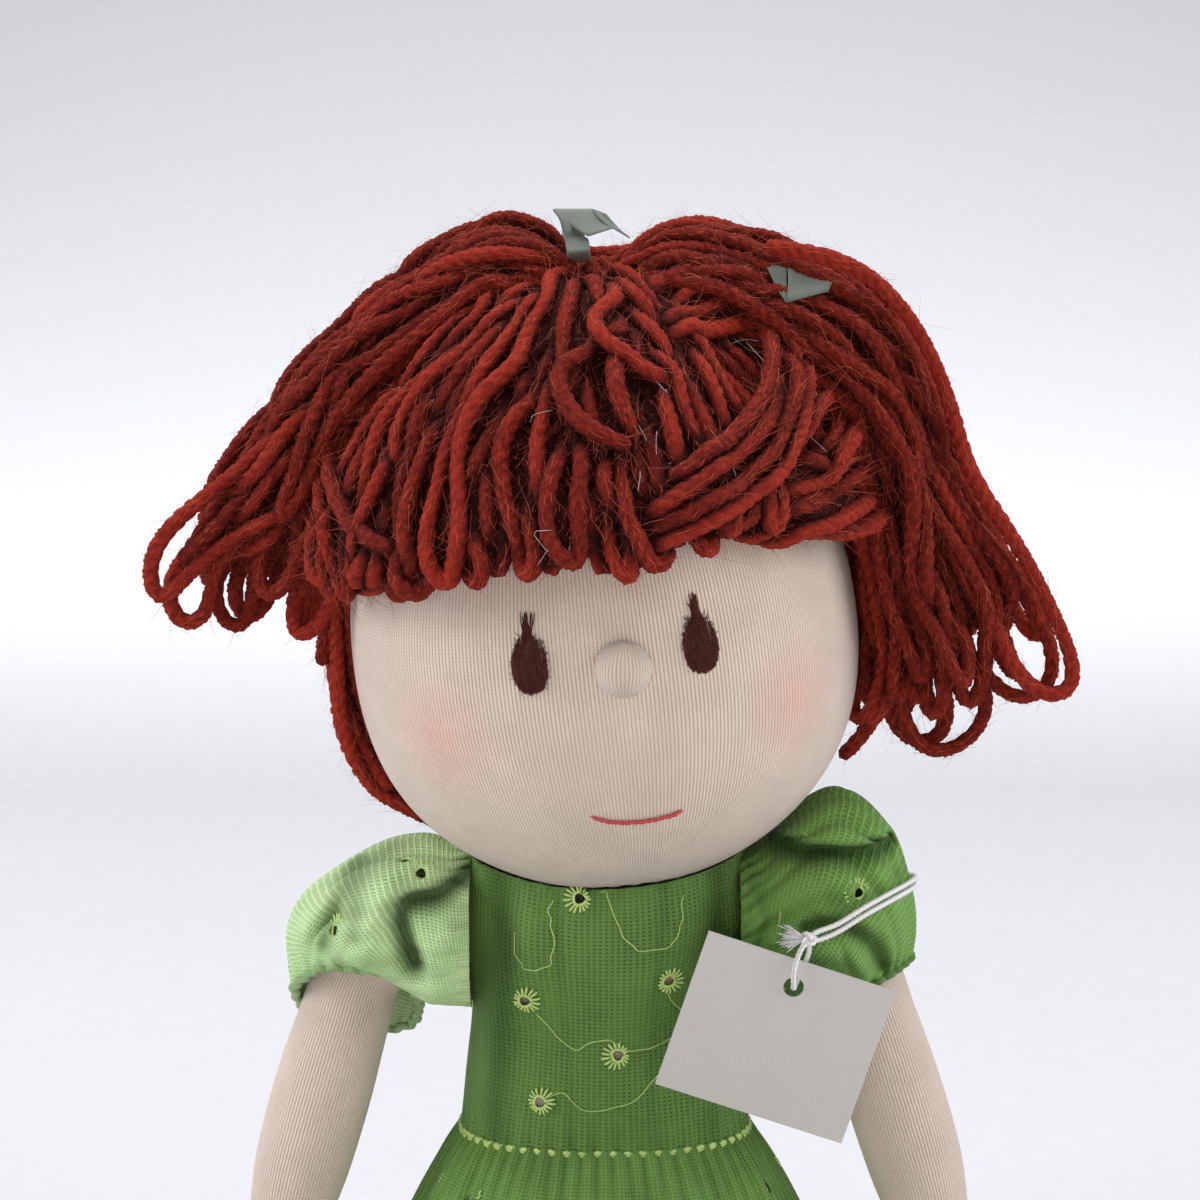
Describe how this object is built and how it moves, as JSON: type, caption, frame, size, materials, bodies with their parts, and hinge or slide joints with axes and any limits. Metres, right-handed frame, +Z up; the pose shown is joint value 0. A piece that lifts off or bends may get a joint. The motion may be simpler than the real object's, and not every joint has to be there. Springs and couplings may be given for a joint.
{
  "type": "rag doll",
  "caption": "Seated stuffed rag doll with a round knit head, yarn hair in two bunches, a voile dress with puff sleeves and a blank card tag on a string.",
  "frame": {"origin": "point of the seat's flat underside straight below the head, on the ground", "axes": "+Z up, the face towards -Y, the doll's own left towards +X"},
  "size_m": [0.2191, 0.2386, 0.2775],
  "materials": {
    "knit": "fine cream jersey knit",
    "filling": "polyester wool",
    "eye_thread": "satin stitch",
    "mouth_thread": "couched thread",
    "voile": "semi-sheer ribbed cotton voile",
    "yarn": "plied wool yarn",
    "satin": "satin ribbon",
    "shoe_felt": "felt",
    "card": "matte card",
    "cotton": "twisted cotton string"
  },
  "bodies": {
    "torso": {"torso": "knit", "torso_stuffing": "filling", "bodice": "voile", "skirt": "voile", "sleeve_left": "voile", "sleeve_right": "voile", "tag_knot": "cotton", "tag_string_upper": "cotton", "tag_string_lower": "cotton"},
    "neck": {"neck": "knit"},
    "head": {"head": "knit", "head_stuffing": "filling", "nose": "knit", "eye_left": "eye_thread", "eye_right": "eye_thread", "mouth": "mouth_thread", "hair_fringe": "yarn", "hair_back": "yarn", "hair_bunch_left": "yarn", "hair_bunch_right": "yarn", "ribbon_left": "satin", "ribbon_right": "satin"},
    "arm_left": {"arm_left": "knit", "arm_left_stuffing": "filling"},
    "arm_right": {"arm_right": "knit", "arm_right_stuffing": "filling"},
    "leg_left": {"leg_left": "knit", "leg_left_stuffing": "filling", "shoe_left": "shoe_felt"},
    "leg_right": {"leg_right": "knit", "leg_right_stuffing": "filling", "shoe_right": "shoe_felt"},
    "tag": {"tag_card": "card", "tag_loop": "cotton"}
  },
  "joints": [
    {"name": "neck_nod", "type": "hinge", "parent": "torso", "child": "neck", "pos_m": [0, 0, 0.113], "axis": [1, 0, 0], "range_deg": [-10, 15]},
    {"name": "head_turn", "type": "hinge", "parent": "neck", "child": "head", "pos_m": [0, 0, 0.178], "axis": [-0.1096, -0.0057, 0.994], "range_deg": [-20, 20]},
    {"name": "shoulder_left", "type": "hinge", "parent": "torso", "child": "arm_left", "pos_m": [0.0427, 0, 0.113], "axis": [0, -1, 0], "range_deg": [0, 75], "deforming": ["sleeve_left", "tag_string_upper", "tag_string_lower"]},
    {"name": "shoulder_right", "type": "hinge", "parent": "torso", "child": "arm_right", "pos_m": [-0.0427, 0, 0.113], "axis": [0, 1, 0], "range_deg": [0, 75], "deforming": ["sleeve_right"]},
    {"name": "hip_left", "type": "hinge", "parent": "torso", "child": "leg_left", "pos_m": [0.0205, -0.023, 0.017], "axis": [1, 0, 0], "range_deg": [0, 90]},
    {"name": "hip_right", "type": "hinge", "parent": "torso", "child": "leg_right", "pos_m": [-0.0205, -0.023, 0.017], "axis": [1, 0, 0], "range_deg": [0, 90]},
    {"name": "tag_swing", "type": "hinge", "parent": "torso", "child": "tag", "pos_m": [0.0461, -0.033, 0.1152], "axis": [1, 0, 0], "range_deg": [-75, 0]}
  ]
}
